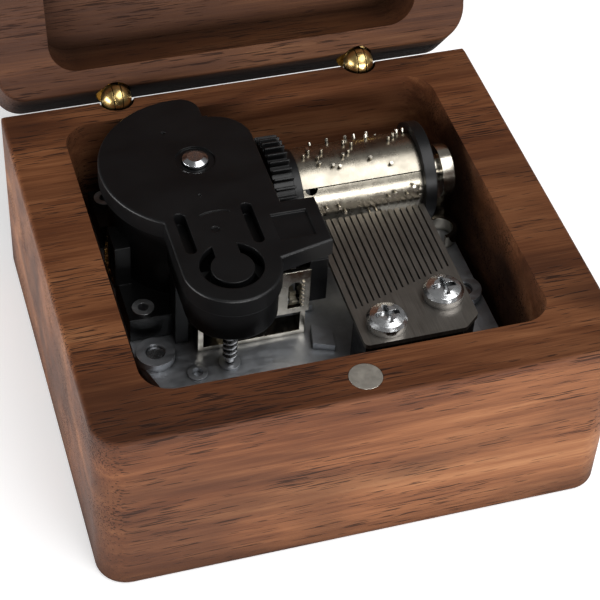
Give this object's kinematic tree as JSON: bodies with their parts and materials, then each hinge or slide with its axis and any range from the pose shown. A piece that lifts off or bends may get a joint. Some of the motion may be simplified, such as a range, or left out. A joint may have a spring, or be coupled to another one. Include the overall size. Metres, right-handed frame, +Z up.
{
  "type": "wind-up music box",
  "caption": "Walnut box with a hinged lid standing open on a wind-up pinned-cylinder musical movement with comb, spring barrel and governor, wound by a key in its base.",
  "frame": {"origin": "middle of the case's flat underside", "axes": "+X along the lid's hinge line to the right, +Y to the back where the hinges are, +Z up"},
  "size_m": [0.076, 0.1002, 0.0967],
  "materials": {
    "walnut": "satin oiled",
    "walnut_lid": "satin oiled",
    "magnet": "plated",
    "hinge_brass": "polished",
    "hinge_steel": "polished",
    "zinc_plate": "bright zinc plating",
    "screw_zinc": "bright zinc plating",
    "comb_steel": "ground",
    "anvil_iron": "black",
    "black_plastic": "satin",
    "nickel": "bright nickel",
    "arbor_steel": "turned",
    "barrel_brass": "satin",
    "spring_steel": "blued",
    "ivory_plastic": "satin",
    "worm_steel": "turned",
    "rubber_weight": "matte"
  },
  "bodies": {
    "case": {"box_body": "walnut", "box_magnet": "magnet", "left_hinge_lower_barrel": "hinge_brass", "left_hinge_pin": "hinge_steel", "right_hinge_lower_barrel": "hinge_brass", "right_hinge_pin": "hinge_steel", "bedplate": "zinc_plate", "mounting_screws": "screw_zinc", "comb": "comb_steel", "comb_anvil": "anvil_iron", "comb_screws": "screw_zinc", "movement_cover": "black_plastic", "movement_frame": "black_plastic", "frame_rivets": "zinc_plate", "governor_bracket": "nickel", "bearing_bracket": "nickel", "ratchet_click": "arbor_steel"},
    "lid": {"lid": "walnut_lid", "lid_magnet": "magnet", "left_hinge_upper_barrel": "hinge_brass", "right_hinge_upper_barrel": "hinge_brass"},
    "winder": {"winding_key": "zinc_plate", "winding_arbor": "arbor_steel", "ratchet_wheel": "arbor_steel"},
    "barrel": {"spring_barrel": "barrel_brass", "barrel_lid": "barrel_brass", "mainspring": "spring_steel"},
    "cylinder": {"cylinder_sleeve": "nickel", "cylinder_pins": "nickel", "cylinder_hub": "black_plastic", "cylinder_end_cap": "black_plastic", "cylinder_shaft": "arbor_steel", "cylinder_gear": "black_plastic"},
    "second_axle": {"second_pinion": "black_plastic", "second_wheel": "black_plastic", "second_axle": "arbor_steel"},
    "worm_wheel": {"leaf_pinion": "ivory_plastic", "worm_wheel": "ivory_plastic", "worm_wheel_axle": "arbor_steel"},
    "governor": {"governor_worm": "worm_steel", "governor_spider": "black_plastic", "governor_weights": "rubber_weight"}
  },
  "joints": [
    {"name": "lid_hinge", "type": "hinge", "parent": "case", "child": "lid", "pos_m": [0, 0.0327, 0.03035], "axis": [1, 0, 0], "range_deg": [0, 105]},
    {"name": "key_wind", "type": "hinge", "parent": "case", "child": "winder", "pos_m": [-0.0124, 0.0123, 0], "axis": [0, 0, 1], "continuous": true},
    {"name": "barrel_spin", "type": "hinge", "parent": "case", "child": "barrel", "pos_m": [-0.0124, 0.0123, 0.02], "axis": [0, 0, 1], "continuous": true},
    {"name": "cylinder_spin", "type": "hinge", "parent": "case", "child": "cylinder", "pos_m": [0.012, 0.0123, 0.024], "axis": [1, 0, 0], "continuous": true},
    {"name": "second_axle_spin", "type": "hinge", "parent": "case", "child": "second_axle", "pos_m": [0, 0.00161, 0.02212], "axis": [1, 0, 0], "continuous": true},
    {"name": "worm_wheel_spin", "type": "hinge", "parent": "case", "child": "worm_wheel", "pos_m": [-0.008, -0.00588, 0.01962], "axis": [1, 0, 0], "continuous": true},
    {"name": "governor_spin", "type": "hinge", "parent": "case", "child": "governor", "pos_m": [-0.01288, -0.01065, 0.02], "axis": [0, 0, 1], "continuous": true}
  ],
  "couplings": [
    {"joint": "cylinder_spin", "follows": "barrel_spin", "ratio": 1.4211},
    {"joint": "second_axle_spin", "follows": "barrel_spin", "ratio": -5.4},
    {"joint": "worm_wheel_spin", "follows": "barrel_spin", "ratio": 18.225},
    {"joint": "governor_spin", "follows": "barrel_spin", "ratio": 437.4}
  ]
}
